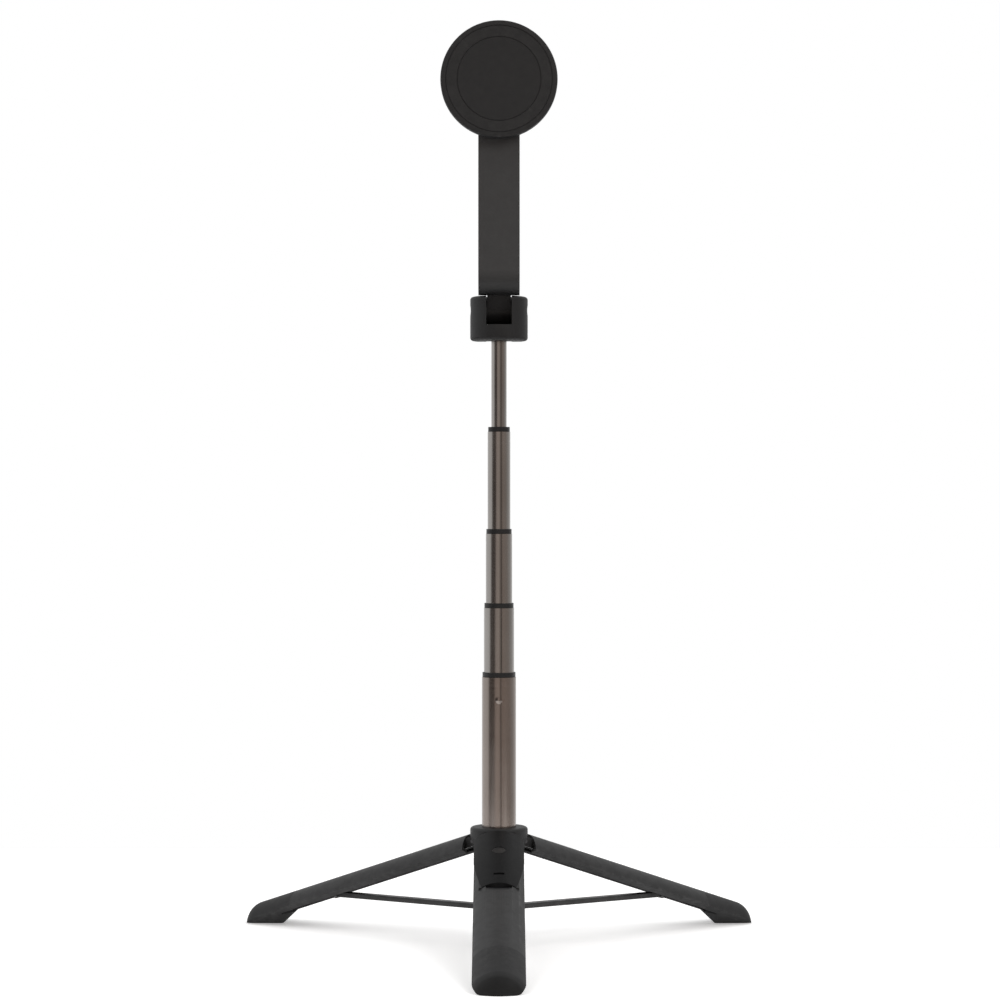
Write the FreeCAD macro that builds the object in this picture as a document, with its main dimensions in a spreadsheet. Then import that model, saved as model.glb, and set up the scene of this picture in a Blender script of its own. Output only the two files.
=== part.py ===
"""Magnetic selfie stick with a folding tripod foot, as a parametric FreeCAD document.

Millimetres, +Z up. The mast stands on the Z axis while the pieces are made; the finished pieces are
then moved together so that the origin is the middle of the whole object's box, on the floor.
"Front" is -Y. A leg and all that rides on it is drawn folded down along the mast, where its crown
lies on the hub's own cylinder, and its Placement then swings it out to the standing position.
"""
import FreeCAD, Part
import math
import os
import re
import Sketcher

# ---------------------------------------------------------------- driving sizes
SIZES = {
    # fits
    "running": 0.06, "seated": 0.02, "gap": 0.3,
    # tripod hub and leg pivots
    "hub_cover": 4.3, "hub_taper": 1.8, "hub_bottom": 46.0, "hub_top": 57.5,
    "hub_plate": 4.0, "hub_round": 1.5, "pivot_clear": 1.5, "pivot_height": 50.5,
    "pin_radius": 0.9, "pin_half": 9.4, "bay_half": 7.0,
    # legs and boots
    "leg_start": 5.2, "leg_half_angle": 58.8, "leg_wall": 1.6,
    "leg_side_angle": 8.0, "leg_rim": 4.1, "lug_in": 3.9, "lug_width": 2.8,
    "lug_radius": 2.2, "lug_length": 20.0, "lug_sink": 1.8,
    "boot_start": 114.0, "boot_length": 23.4, "nose_round": 9.0, "nose_turn": 60.0,
    "foot_drop": 6.22,
    "heel_run": 15.0, "heel_angle": 60.0, "boot_overlap": 6.0,
    "sole_half": 7.7, "sole_rise": 4.9,
    # struts
    "strut_sink": 2.6, "strut_height": 17.5, "strut_below": 4.03, "strut_width": 5.0,
    "strut_thick": 2.5, "eye_radius": 2.0, "slider_half": 5.4, "slider_radius": 1.6,
    "slot_spare": 3.4,
    # column
    "tube_bottom": 20.2, "tube_wall": 0.5, "key_width": 2.0, "key_depth": 0.3,
    "tube_od_1": 16.8, "tube_od_2": 14.9, "tube_od_3": 13.0, "tube_od_4": 11.2, "tube_od_5": 7.55,
    "tube_length_1": 111.1, "tube_length_2": 108.0, "tube_length_3": 106.0,
    "tube_length_4": 104.0, "tube_length_5": 102.0,
    "step_2": 34.1, "step_3": 36.5, "step_4": 50.3, "step_5": 44.9,
    "ring_height": 2.4, "ring_inset": 0.25, "sleeve_depth": 6.0, "bushing_height": 8.0,
    "crimp_drop": 4.5, "crimp_depth": 0.25, "crimp_radius": 0.6,
    "cap_flange": 1.2, "cap_height": 7.0, "spigot_height": 7.0, "cap_pin_radius": 0.8,
    # head hub
    "head_radius": 14.2, "head_height": 21.6, "head_round": 1.5, "head_back": 7.2,
    "slot_width": 12.5, "slot_rise": 7.4, "hinge_rise": 14.8, "socket_depth": 6.2,
    "head_relief": 4.3, "bolt_radius": 1.5, "bolt_head_radius": 2.6, "bolt_half": 12.0,
    "bolt_head": 2.0, "grub_radius": 1.1, "washer_radius": 7.0, "washer_thick": 0.4,
    # arm
    "knuckle_radius": 6.9, "knuckle_width": 11.6, "arm_front": 17.6, "arm_thick": 3.0,
    "arm_width": 20.2, "arm_rise": 7.1, "arm_bend": 9.6, "arm_inner": 7.6, "arm_length": 111.1,
    # magnetic head
    "disc_radius": 28.5, "disc_gap": 0.4, "disc_depth": 5.2, "disc_floor": 1.4, "disc_rim": 2.0,
    "pad_thick": 0.9, "plate_thick": 0.8, "magnet_thick": 1.6, "magnet_margin": 0.5,
    "magnet_wide": 4.5, "magnet_gap": 0.6, "axle_radius": 3.5, "axle_flange": 6.5,
    "axle_flange_thick": 1.2, "screw_radius": 1.2, "screw_head_radius": 5.2, "screw_head": 1.1,
    "spring_thick": 0.5,
    # remote control
    "remote_start": 2.8, "remote_end": 52.0, "remote_proud": 3.8, "remote_sink": 2.2,
    "remote_taper": 88.0, "remote_half": 12.2, "remote_wall": 1.0, "remote_base": 0.8, "remote_side": 1.6,
    "cradle_thick": 1.5, "button_place": 23.0, "button_radius": 3.2, "button_sink": 0.7,
    "button_stand": 2.6, "board_thick": 0.6, "cell_radius": 5.0, "cell_thick": 1.5,
    "cell_place": 34.5, "dome_radius": 2.2, "dome_height": 0.6,
    "scoop_length": 8.0, "scoop_depth": 2.2, "scoop_half": 6.2, "cradle_half": 9.6,
    "board_half": 7.0, "board_above": 11.0, "grip_half": 2.6, "grip_rise": 6.6, "grip_tall": 1.8,
    "grip_depth": 3.2,
}

# sizes that follow from the driving ones, so that neighbours keep their fit
FOLLOWING = {
    "pivot_radius": "(tube_od_1 / 2 + pivot_clear)",
    "hub_radius": "(pivot_radius + hub_cover)",
    "hub_foot_radius": "(hub_radius - hub_taper)",
    "leg_rim_radius": "(hub_radius - leg_rim)",
    "lug_outer": "(hub_radius - lug_sink)",
    "cap_radius": "(tube_od_1 / 2 + cap_flange)",
    "strut_radius": "(cap_radius - strut_sink)",
    "magnet_outer": "(disc_radius - disc_rim - magnet_margin)",
    "magnet_inner": "(magnet_outer - magnet_wide)",
    "remote_radius": "(hub_radius + remote_proud)",
    "remote_floor": "(hub_radius - remote_sink)",
    "button_top": "(remote_radius - button_sink)",
    "button_foot": "(remote_floor + button_stand)",
}

doc = FreeCAD.newDocument("SelfieStick")
sheet = doc.addObject("Spreadsheet::Sheet", "Sizes")
for row, (alias, value) in enumerate(SIZES.items(), start=1):
    sheet.set("A%d" % row, alias)
    sheet.set("B%d" % row, str(value))
    sheet.setAlias("B%d" % row, alias)
doc.recompute()


def size(alias):
    """A driving size as the sheet holds it now."""
    return float(sheet.get(alias))


def spelt(word):
    """One word of an expression, followed back to the sheet's aliases."""
    if word[0] in FOLLOWING:
        return bound(FOLLOWING[word[0]])
    return "Sizes." + word[0] if word[0] in SIZES else word[0]


def bound(text):
    """An expression in the sheet's own aliases, as FreeCAD wants it written."""
    return re.sub(r"[a-z][a-z_0-9]*", spelt, str(text))


def number(text):
    """The value of such an expression."""
    return float(sheet.evalExpression(bound(text)))


# ---------------------------------------------------------------- makers
TURNS = {
    "z": FreeCAD.Rotation(),
    "x": FreeCAD.Rotation(FreeCAD.Vector(0, 1, 0), 90),
    "y": FreeCAD.Rotation(FreeCAD.Vector(1, 0, 0), -90),
}


def new(kind, name, **sizes):
    """A Part object whose sizes follow the sheet."""
    made = doc.addObject("Part::" + kind, name)
    for prop, text in sizes.items():
        made.setExpression(prop, bound(text))
    return made


def at(made, x, y, z):
    """Tie an object's base point to the sheet."""
    for axis, text in zip("xyz", (x, y, z)):
        made.setExpression("Placement.Base." + axis, bound(text))
    return made


def box(name, low, high):
    """A box between two corners, each three expressions."""
    spans = ["(%s) - (%s)" % (far, near) for near, far in zip(low, high)]
    return at(new("Box", name, Length=spans[0], Width=spans[1], Height=spans[2]), *low)


def rod(name, radius, base, length, along="z"):
    """A cylinder from its base point along +X, +Y or +Z."""
    made = new("Cylinder", name, Radius=radius, Height=length)
    made.Placement = FreeCAD.Placement(FreeCAD.Vector(), TURNS[along])
    return at(made, *base)


def cut(name, base, *tools):
    """The base less each tool in turn."""
    for count, tool in enumerate(tools):
        last = count == len(tools) - 1
        made = doc.addObject("Part::Cut", name if last else "%s_less_%d" % (name, count))
        made.Base, made.Tool = base, tool
        base = made
    return base


def fuse(name, *pieces):
    """Several pieces joined into one."""
    made = doc.addObject("Part::MultiFuse", name)
    made.Shapes = list(pieces)
    made.Refine = True
    return made


def common(name, *pieces):
    """What several pieces share."""
    made = doc.addObject("Part::MultiCommon", name)
    made.Shapes = list(pieces)
    return made


def origin_plane(body, role):
    """One of a body's own origin planes."""
    return next(item for item in body.Origin.OriginFeatures if item.Role == role)


def sketch(body, name, role, points):
    """A closed outline of straight sides, each corner placed by two expressions."""
    drawn = body.newObject("Sketcher::SketchObject", name)
    drawn.AttachmentSupport = [(origin_plane(body, role), "")]
    drawn.MapMode = "FlatFace"
    places = [FreeCAD.Vector(number(x), number(y), 0) for x, y in points]
    for start, end in zip(places, places[1:] + places[:1]):
        drawn.addGeometry(Part.LineSegment(start, end))
    for side in range(len(points)):
        drawn.addConstraint(Sketcher.Constraint("Coincident", side, 2, (side + 1) % len(points), 1))
    for side, corner in enumerate(points):
        for kind, text in zip(("DistanceX", "DistanceY"), corner):
            row = drawn.addConstraint(Sketcher.Constraint(kind, -1, 1, side, 1, number(text)))
            drawn.setExpression("Constraints[%d]" % row, bound(text))
    return drawn


def spun(name, points, angle="360"):
    """A body turned about the Z axis from an outline in the XZ plane."""
    body = doc.addObject("PartDesign::Body", name)
    outline = sketch(body, name + "_outline", "XZ_Plane", points)
    turned = body.newObject("PartDesign::Revolution", name + "_turn")
    turned.Profile = outline
    turned.ReferenceAxis = (outline, ["V_Axis"])
    turned.Midplane = True
    turned.setExpression("Angle", bound(angle))
    doc.recompute()
    return body


def padded(name, role, points, depth):
    """A body pushed out evenly to both sides of an origin plane."""
    body = doc.addObject("PartDesign::Body", name)
    outline = sketch(body, name + "_outline", role, points)
    pad = body.newObject("PartDesign::Pad", name + "_pad")
    pad.Profile = outline
    pad.Midplane = True
    pad.setExpression("Length", bound(depth))
    doc.recompute()
    return body


def rounded(body, name, radius, chosen):
    """Round the edges of a body that a test of their middle point picks."""
    before = body.Tip
    edges = before.Shape.Edges
    picked = ["Edge%d" % (place + 1) for place, edge in enumerate(edges) if chosen(edge)]
    if not picked:
        raise ValueError("no edge to round on " + name)
    fillet = body.newObject("PartDesign::Fillet", name)
    fillet.Base = (before, picked)
    fillet.setExpression("Radius", bound(radius))
    doc.recompute()
    return body


def middle(edge):
    """The point halfway along an edge."""
    return edge.valueAt((edge.FirstParameter + edge.LastParameter) / 2)


finished = []


def turned(name, piece, placement):
    """A piece as it stands somewhere else."""
    made = doc.addObject("Part::Compound", name)
    made.Links = [piece]
    made.Placement = placement
    return made


def about_mast(degrees):
    """A turn about the mast."""
    return FreeCAD.Placement(FreeCAD.Vector(), FreeCAD.Rotation(FreeCAD.Vector(0, 0, 1), degrees))


def finish(piece, label, placement=FreeCAD.Placement()):
    """A finished sub-part: its own label, and its place."""
    made = turned("Node_" + label, piece, placement)
    made.Label = label
    finished.append(made)
    return made


def sector(name, radius, low, high, half_angle):
    """A slice of a cylinder, even about the front."""
    made = new("Cylinder", name, Radius=radius, Height="(%s) - (%s)" % (high, low),
               Angle="2 * (%s)" % half_angle)
    made.Placement = FreeCAD.Placement(
        FreeCAD.Vector(), FreeCAD.Rotation(FreeCAD.Vector(0, 0, 1), -90 - number(half_angle)))
    return at(made, "0", "0", low)


def keyed(name, radius, low, high, key_width):
    """A round bar with the straight key groove down its front."""
    bar = rod(name + "_bar", radius, ("0", "0", low), "(%s) - (%s)" % (high, low))
    key = box(name + "_key", ("-(%s) / 2" % key_width, "-(%s) - 1" % radius, "(%s) - 1" % low),
              ("(%s) / 2" % key_width, "-(%s) + key_depth" % radius, "(%s) + 1" % high))
    return cut(name, bar, key)


# ---------------------------------------------------------------- column: five keyed tubes
tops = ["tube_bottom + tube_length_1"]
for stage in (2, 3, 4):
    tops.append("%s + step_%d" % (tops[-1], stage))
head_bottom = "%s + step_5" % tops[-1]
tops.append("%s + socket_depth" % head_bottom)
bottoms = ["(%s) - tube_length_%d" % (top, stage) for stage, top in enumerate(tops, start=1)]
bead_width = "key_width - 0.2"

for stage in range(1, 6):
    outer = "tube_od_%d / 2" % stage
    inner = "(%s - tube_wall)" % outer
    low = bottoms[stage - 1]
    high = tops[stage - 1]
    skin = keyed("tube_%d_skin" % stage, outer, low, high, "key_width")
    bore = keyed("tube_%d_bore" % stage, inner, "(%s) - 1" % low, "(%s) + 1" % high, bead_width)
    tools = [bore]
    if stage < 5:
        crimp = new("Torus", "tube_%d_crimp" % stage,
                    Radius1="%s + crimp_radius - crimp_depth" % outer, Radius2="crimp_radius")
        tools.append(at(crimp, "0", "0", "(%s) - crimp_drop" % high))
    if stage == 1:
        tools.append(rod("tube_1_cross_hole", "cap_pin_radius + seated",
                         ("-20", "0", "tube_bottom + spigot_height / 2"), "40", "x"))
    finish(cut("Tube%d" % stage, skin, *tools), "tube_%d" % stage)

for stage in range(1, 5):
    outer = "tube_od_%d / 2" % stage
    inner = "(%s - tube_wall)" % outer
    top = tops[stage - 1]
    collar = rod("ring_%d_collar" % stage, "%s - ring_inset" % outer, ("0", "0", top), "ring_height")
    sleeve = keyed("ring_%d_sleeve" % stage, "(%s - seated)" % inner, "(%s) - sleeve_depth" % top,
                   "(%s) + ring_height / 2" % top, "key_width")
    body = fuse("ring_%d_body" % stage, collar, sleeve)
    bore = keyed("ring_%d_bore" % stage, "(tube_od_%d / 2 + running)" % (stage + 1),
                 "(%s) - sleeve_depth - 1" % top, "(%s) + ring_height + 1" % top, bead_width)
    finish(cut("Ring%d" % stage, body, bore), "mouth_ring_%d" % stage)

for stage in range(2, 6):
    low = bottoms[stage - 1]
    high = "(%s) + bushing_height" % low
    shell = keyed("bushing_%d_shell" % stage, "(tube_od_%d / 2 - tube_wall - running)" % (stage - 1),
                  low, high, "key_width")
    bore = keyed("bushing_%d_bore" % stage, "(tube_od_%d / 2 + seated)" % stage,
                 "(%s) - 1" % low, "(%s) + 1" % high, bead_width)
    finish(cut("Bushing%d" % stage, shell, bore), "slider_bushing_%d" % stage)

# ---------------------------------------------------------------- column end cap and its clevises
LEGS = (("front", 0), ("right", 120), ("left", 240))
cap_low = "tube_bottom - cap_height"
cap_disc = rod("cap_disc", "cap_radius", ("0", "0", cap_low), "cap_height")
spigot = keyed("cap_spigot", "(tube_od_1 / 2 - tube_wall - seated)", "tube_bottom - 1",
               "tube_bottom + spigot_height", bead_width + " + 0.2")
cap_slot = box("cap_slot", ("-strut_width / 2 - 0.1", "-20", "%s - 1" % cap_low),
               ("strut_width / 2 + 0.1", "eye_radius + 0.4 - strut_radius",
                "strut_height + eye_radius + 0.2"))
cap_hole = rod("cap_hole", "pin_radius + seated", ("-10", "-strut_radius", "strut_height"), "20", "x")
cap_tools = [turned("cap_%s_%d" % (tool.Name, degrees), tool, about_mast(degrees))
             for _, degrees in LEGS for tool in (cap_slot, cap_hole)]
cap_rivet_z = "tube_bottom + spigot_height / 2"
cap_tools.append(rod("cap_cross_hole", "cap_pin_radius + seated", ("-20", "0", cap_rivet_z), "40", "x"))
finish(cut("EndCap", fuse("cap_body", cap_disc, spigot), *cap_tools), "column_end_cap")
rivet_long = "tube_od_1 - 0.1"
rivet = rod("cap_rivet", "cap_pin_radius", ("-(%s) / 2" % rivet_long, "0", cap_rivet_z), rivet_long, "x")
finish(rivet, "end_cap_pin")

strut_pin_half = "strut_width / 2 + 2.4"
strut_pin = rod("strut_pin", "pin_radius", ("-(%s)" % strut_pin_half, "-strut_radius", "strut_height"),
                "2 * (%s)" % strut_pin_half, "x")
strut_pins = doc.addObject("Part::Compound", "strut_pin_set")
strut_pins.Links = [turned("strut_pin_%s" % side, strut_pin, about_mast(degrees)) for side, degrees in LEGS]
finish(strut_pins, "strut_hinge_pins")

# ---------------------------------------------------------------- tripod hub
taper_top = "hub_top - hub_plate"
hub = spun("HubBody", [("tube_od_1 / 2 + seated", "hub_bottom"), ("hub_foot_radius", "hub_bottom"),
                       ("hub_radius", taper_top), ("hub_radius", "hub_top"),
                       ("tube_od_1 / 2 + seated", "hub_top")])
rounded(hub, "HubRim", "hub_round", lambda edge: middle(edge).z > number("hub_top") - 0.01
        and math.hypot(middle(edge).x, middle(edge).y) > number("hub_radius") - 0.01)
bay = box("hub_bay", ("-bay_half", "-30", "hub_bottom - 1"), ("bay_half", "0", taper_top))
bay_hole = rod("hub_pin_hole", "pin_radius + seated", ("-pin_half - 0.05", "-pivot_radius", "pivot_height"),
               "2 * pin_half + 0.1", "x")
hub_tools = [turned("hub_%s_%d" % (tool.Name, degrees), tool, about_mast(degrees))
             for _, degrees in LEGS for tool in (bay, bay_hole)]
finish(cut("Hub", hub, *hub_tools), "tripod_hub")
leg_pin = rod("leg_pin", "pin_radius", ("-pin_half", "-pivot_radius", "pivot_height"), "2 * pin_half", "x")
leg_pins = doc.addObject("Part::Compound", "leg_pin_set")
leg_pins.Links = [turned("leg_pin_%s" % side, leg_pin, about_mast(degrees)) for side, degrees in LEGS]
finish(leg_pins, "leg_hinge_pins")

# ---------------------------------------------------------------- legs, boots and struts
# The slope follows from the pivot's height and the leg's length, so that the sole meets the floor.
# A strut ends a little below the leg's pivot line, and its slot runs on to where it folds.
NOSE_START = "(boot_start + boot_length)"
LEG_SINE = "((pivot_height - foot_drop) / %s)" % NOSE_START
STRUT_LONG = ("(pivot_radius - strut_radius + (pivot_height - strut_height - strut_below)"
              " * sqrt(1 - %s * %s) / %s)" % (LEG_SINE, LEG_SINE, LEG_SINE))
SLOT_END = "(pivot_height - strut_height + %s + slot_spare)" % STRUT_LONG
swing = 90 - math.degrees(math.asin(number(LEG_SINE)))
pivot = FreeCAD.Vector(0, -number("pivot_radius"), number("pivot_height"))
stand = FreeCAD.Placement(FreeCAD.Vector(), FreeCAD.Rotation(FreeCAD.Vector(1, 0, 0), -swing), pivot)
fold = stand.inverse()


def along(reach):
    """The height, on a folded leg, of a place a given reach below its pivot."""
    return "(pivot_height - (%s))" % reach


def leg_shell(side):
    """The long half-round channel with its two hinge lugs."""
    low = along("boot_start")
    high = along("leg_start")
    shell = sector("leg_%s_skin" % side, "hub_radius", low, high, "leg_half_angle")
    rim = rod("leg_%s_rim" % side, "leg_rim_radius", ("0", "0", "(%s) - 1" % low),
              "(%s) - (%s) + 2" % (high, low))
    hollow = sector("leg_%s_hollow" % side, "hub_radius - leg_wall", "(%s) - 1" % low,
                    "(%s) + 1" % high, "leg_half_angle - leg_side_angle")
    channel = cut("leg_%s_channel" % side, shell, rim, hollow)
    lugs = []
    for hand in (-1, 1):
        near = "%d * lug_in" % hand
        far = "%d * (lug_in + lug_width)" % hand
        left, right = (near, far) if hand > 0 else (far, near)
        tag = "%s_%s" % (side, "b" if hand > 0 else "a")
        bar = box("lug_bar_" + tag, (left, "-lug_outer", along("lug_length")),
                  (right, "lug_radius - pivot_radius", along("1")))
        eye = rod("lug_eye_" + tag, "lug_radius", (left, "-pivot_radius", "pivot_height"),
                  "(%s) - (%s)" % (right, left), "x")
        lugs += [bar, eye]
    return channel, lugs


def finish_leg(side, degrees):
    """One leg, its boot, its strut and the strut's slider."""
    channel, lugs = leg_shell(side)
    pieces = [channel] + lugs
    hole = rod("lug_hole_" + side, "pin_radius + running", ("-20", "-pivot_radius", "pivot_height"),
               "40", "x")
    tools = [hole]
    if side == "front":
        floor = box("cradle_floor", ("-cradle_half", "-remote_floor + 0.1", along("remote_end + 0.3")),
                    ("cradle_half", "0.1 + cradle_thick - remote_floor", along("leg_start")))
        pieces.append(floor)
        tools.append(box("cradle_cut", ("-30", "-40", along("remote_end + 0.3")),
                         ("30", "-remote_floor + 0.1", along("0"))))
        scoop = box("scoop_block", ("-scoop_half", "-40", along("remote_end + 1.5 * scoop_length")),
                    ("scoop_half", "-hub_radius + scoop_depth", along("remote_end")))
        lean = math.degrees(math.atan2(number("scoop_depth"), number("scoop_length")))
        edge = FreeCAD.Vector(0, -number("hub_radius") + number("scoop_depth"), number(along("remote_end")))
        tools.append(turned("scoop", scoop, FreeCAD.Placement(
            FreeCAD.Vector(), FreeCAD.Rotation(FreeCAD.Vector(1, 0, 0), -lean), edge)))
    out = about_mast(degrees).multiply(stand)
    finish(cut("Leg_" + side, fuse("leg_%s_whole" % side, *pieces), *tools), "leg_" + side, out)
    finish_boot(side, out)
    finish_strut(side, degrees)


def finish_boot(side, out):
    """The moulded boot that closes the leg's end and stands on a flat sole."""
    corner = "(%s + nose_round * tan(nose_turn / 2))" % NOSE_START
    dome = spun("boot_%s_dome" % side, [
        ("0.2", along("boot_start + seated")), ("hub_radius", along("boot_start + seated")),
        ("hub_radius", along(corner)),
        ("0.2", along(corner + " + (hub_radius - 0.2) / tan(nose_turn)"))], "2 * leg_half_angle")
    rounded(dome, "boot_%s_nose" % side, "nose_round",
            lambda edge: abs(middle(edge).z - number(along(corner))) < 0.01)
    dome.Placement = about_mast(-90)
    tongue = cut("boot_%s_tongue" % side,
                 sector("boot_%s_plug" % side, "hub_radius - leg_wall - seated",
                        along("boot_start + 0.5"), along("boot_start - boot_overlap"),
                        "leg_half_angle - leg_side_angle - 1"),
                 rod("boot_%s_core" % side, "leg_rim_radius", ("0", "0", along("boot_start + 1")),
                     "boot_overlap + 2"))
    tongue_root = cut("boot_%s_root" % side,
                      sector("boot_%s_root_skin" % side, "hub_radius - leg_wall - seated",
                             along("boot_start + 1"), along("boot_start - 0.5"),
                             "leg_half_angle - leg_side_angle - 1"),
                      rod("boot_%s_root_core" % side, "leg_rim_radius",
                          ("0", "0", along("boot_start + 2")), "4"))
    whole = fuse("boot_%s_whole" % side, dome, tongue, tongue_root)
    slot = box("boot_%s_slot" % side, ("-slider_half - 0.5", "-strut_radius - eye_radius - 1",
                                       along(SLOT_END)),
               ("slider_half + 0.5", "5", along("boot_start - boot_overlap - 1")))
    heel_block = box("boot_%s_heel_block" % side, ("-30", "0", "-30"), ("30", "60", "60"))
    heel_lean = FreeCAD.Placement(FreeCAD.Vector(0, -number("boot_start + heel_run"), 0),
                                  FreeCAD.Rotation(FreeCAD.Vector(1, 0, 0), number("heel_angle") - 90))
    under = box("boot_%s_under" % side, ("-30", "-leg_rim_radius * cos(leg_half_angle)", "-200"),
                ("30", "40", "200"))
    heel = common("boot_%s_heel" % side,
                  turned("boot_%s_heel_turned" % side, heel_block, fold.multiply(heel_lean)), under)
    rise = box("boot_%s_rise" % side, ("-30", "-200", "sole_rise"), ("30", "0", "80"))
    strip = box("boot_%s_strip" % side, ("-sole_half", "-200", "0"), ("sole_half", "0", "sole_rise"))
    sides = [rod("boot_%s_side_%d" % (side, hand), "sole_rise",
                 ("%d * sole_half" % hand, "-200", "sole_rise"), "200", "y") for hand in (-1, 1)]
    floor_form = turned("boot_%s_floor_form" % side, fuse("boot_%s_form" % side, rise, strip, *sides), fold)
    trimmed = cut("boot_%s_trimmed" % side, whole, slot, heel)
    finish(common("Boot_" + side, trimmed, floor_form), "foot_" + side, out)


def finish_strut(side, degrees):
    """One flat brace with an eye at each end, and the slider that its outer end carries."""
    far = "-(strut_radius + %s)" % STRUT_LONG
    bar = box("strut_%s_bar" % side, ("-strut_width / 2", far, "strut_height - strut_thick / 2"),
              ("strut_width / 2", "-strut_radius", "strut_height + strut_thick / 2"))
    eyes = [rod("strut_%s_eye_%d" % (side, end), "eye_radius",
                ("-strut_width / 2", place, "strut_height"), "strut_width", "x")
            for end, place in enumerate(("-strut_radius", far))]
    holes = [rod("strut_%s_hole_%d" % (side, end), radius, ("-10", place, "strut_height"), "20", "x")
             for end, (place, radius) in enumerate((("-strut_radius", "pin_radius + running"),
                                                    (far, "pin_radius + seated")))]
    finish(cut("Strut_" + side, fuse("strut_%s_whole" % side, bar, *eyes), *holes), "strut_" + side,
           about_mast(degrees))
    axle = rod("slider_%s_axle" % side, "pin_radius", ("-slider_half", far, "strut_height"),
               "2 * slider_half", "x")
    shoes = [rod("slider_%s_shoe_%d" % (side, hand), "slider_radius",
                 (start, far, "strut_height"), "slider_half - strut_width / 2 - 0.1", "x")
             for hand, start in ((-1, "-slider_half"), (1, "strut_width / 2 + 0.1"))]
    finish(fuse("Slider_" + side, axle, *shoes), "strut_slider_" + side, about_mast(degrees))


for side, degrees in LEGS:
    finish_leg(side, degrees)

# ---------------------------------------------------------------- head hub
head_top = "%s + head_height" % head_bottom
hinge = "(%s + hinge_rise)" % head_bottom
slot_floor = "%s + slot_rise" % head_bottom
head = spun("HeadBody", [("0", head_bottom), ("head_radius", head_bottom), ("head_radius", head_top),
                         ("0", head_top)])
rounded(head, "HeadRims", "head_round", lambda edge: math.hypot(middle(edge).x, middle(edge).y)
        > number("head_radius") - 0.01 and edge.Length > 40)
head_tools = [
    box("head_flat", ("-30", "head_back", head_bottom + " - 1"), ("30", "30", head_top + " + 1")),
    box("head_slot", ("-slot_width / 2", "-30", slot_floor), ("slot_width / 2", "30", head_top + " + 1")),
    box("head_relief", ("-slot_width / 2", "head_relief", head_bottom + " - 1"),
        ("slot_width / 2", "30", head_top + " + 1")),
    rod("head_socket", "tube_od_5 / 2 + seated", ("0", "0", head_bottom + " - 1"), "socket_depth + 1"),
    rod("head_bolt_hole", "bolt_radius + seated", ("-20", "0", hinge), "40", "x"),
    rod("head_bolt_seat_a", "bolt_head_radius + 0.1", ("-20", "0", hinge), "20 - bolt_half + bolt_head", "x"),
    rod("head_bolt_seat_b", "bolt_head_radius + 0.1", ("bolt_half - bolt_head", "0", hinge), "20", "x"),
]
grub_height = head_bottom + " + socket_depth / 2"
head_tools.append(rod("head_grub_hole", "grub_radius + seated",
                      ("tube_od_5 / 2 - 0.1", "0", grub_height), "20", "x"))
finish(cut("Head", head, *head_tools), "head_hub")
grub_long = "head_radius - tube_od_5 / 2 - 0.6"
finish(rod("Grub", "grub_radius", ("tube_od_5 / 2 + 0.05", "0", grub_height), grub_long, "x"),
       "head_grub_screw")

bolt_shank = rod("bolt_shank", "bolt_radius", ("-bolt_half", "0", hinge), "2 * bolt_half - 0.4", "x")
bolt_cap = rod("bolt_cap", "bolt_head_radius", ("-bolt_half", "0", hinge), "bolt_head - 0.02", "x")
bolt_drive = box("bolt_drive", ("-bolt_half - 1", "-0.4", hinge + " - 2"),
                 ("-bolt_half + 0.7", "0.4", hinge + " + 2"))
finish(cut("HingeBolt", fuse("bolt_whole", bolt_shank, bolt_cap), bolt_drive), "hinge_bolt")
nut = new("Prism", "nut_block", Circumradius="bolt_head_radius", Height="bolt_head - 0.1")
nut.Polygon = 6
nut.Placement = FreeCAD.Placement(FreeCAD.Vector(), TURNS["x"])
at(nut, "bolt_half - bolt_head + 0.02", "0", hinge)
nut_hole = rod("nut_hole", "bolt_radius + seated", ("0", "0", hinge), "30", "x")
finish(cut("HingeNut", nut, nut_hole), "hinge_nut")

side_gap = "(slot_width - knuckle_width) / 4"
washers = []
for hand in (-1, 1):
    middle_x = "%d * (knuckle_width / 2 + %s)" % (hand, side_gap)
    ring = rod("washer_ring_%d" % hand, "washer_radius", ("%s - washer_thick / 2" % middle_x, "0", hinge),
               "washer_thick", "x")
    hole = rod("washer_hole_%d" % hand, "bolt_radius + running", ("-20", "0", hinge), "40", "x")
    washers.append(cut("washer_%d" % hand, ring, hole))
washer_pair = doc.addObject("Part::Compound", "washer_pair")
washer_pair.Links = washers
finish(washer_pair, "hinge_friction_washers")

# ---------------------------------------------------------------- arm
disc_centre = "(%s + arm_length)" % hinge
arm_low = "(%s + arm_rise)" % hinge
blade = padded("ArmBlade", "YZ_Plane", [
    ("-arm_front", disc_centre), ("-arm_front", arm_low), ("-arm_inner", arm_low),
    ("-arm_inner", arm_low + " + arm_thick"), ("arm_thick - arm_front", arm_low + " + arm_thick"),
    ("arm_thick - arm_front", disc_centre)], "arm_width")
rounded(blade, "ArmInnerBend", "arm_bend - arm_thick",
        lambda edge: abs(middle(edge).y - number("arm_thick - arm_front")) < 0.01
        and abs(middle(edge).z - number(arm_low + " + arm_thick")) < 0.01)
rounded(blade, "ArmOuterBend", "arm_bend", lambda edge: abs(middle(edge).y + number("arm_front")) < 0.01
        and abs(middle(edge).z - number(arm_low)) < 0.01)
neck = padded("ArmNeck", "YZ_Plane", [
    ("-arm_inner - 1", arm_low), ("-0.95 * knuckle_radius", hinge + " - 0.2 * knuckle_radius"),
    ("0", hinge + " - knuckle_radius / 2"), ("knuckle_radius / 3", hinge + " + 0.93 * knuckle_radius"),
    ("-head_relief - 0.7", hinge + " + arm_rise - 0.3"), ("-head_relief - 0.7", arm_low + " + arm_thick"),
    ("-arm_inner - 1", arm_low + " + arm_thick")], "knuckle_width")
knuckle = rod("arm_knuckle", "knuckle_radius", ("-knuckle_width / 2", "0", hinge), "knuckle_width", "x")
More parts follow.
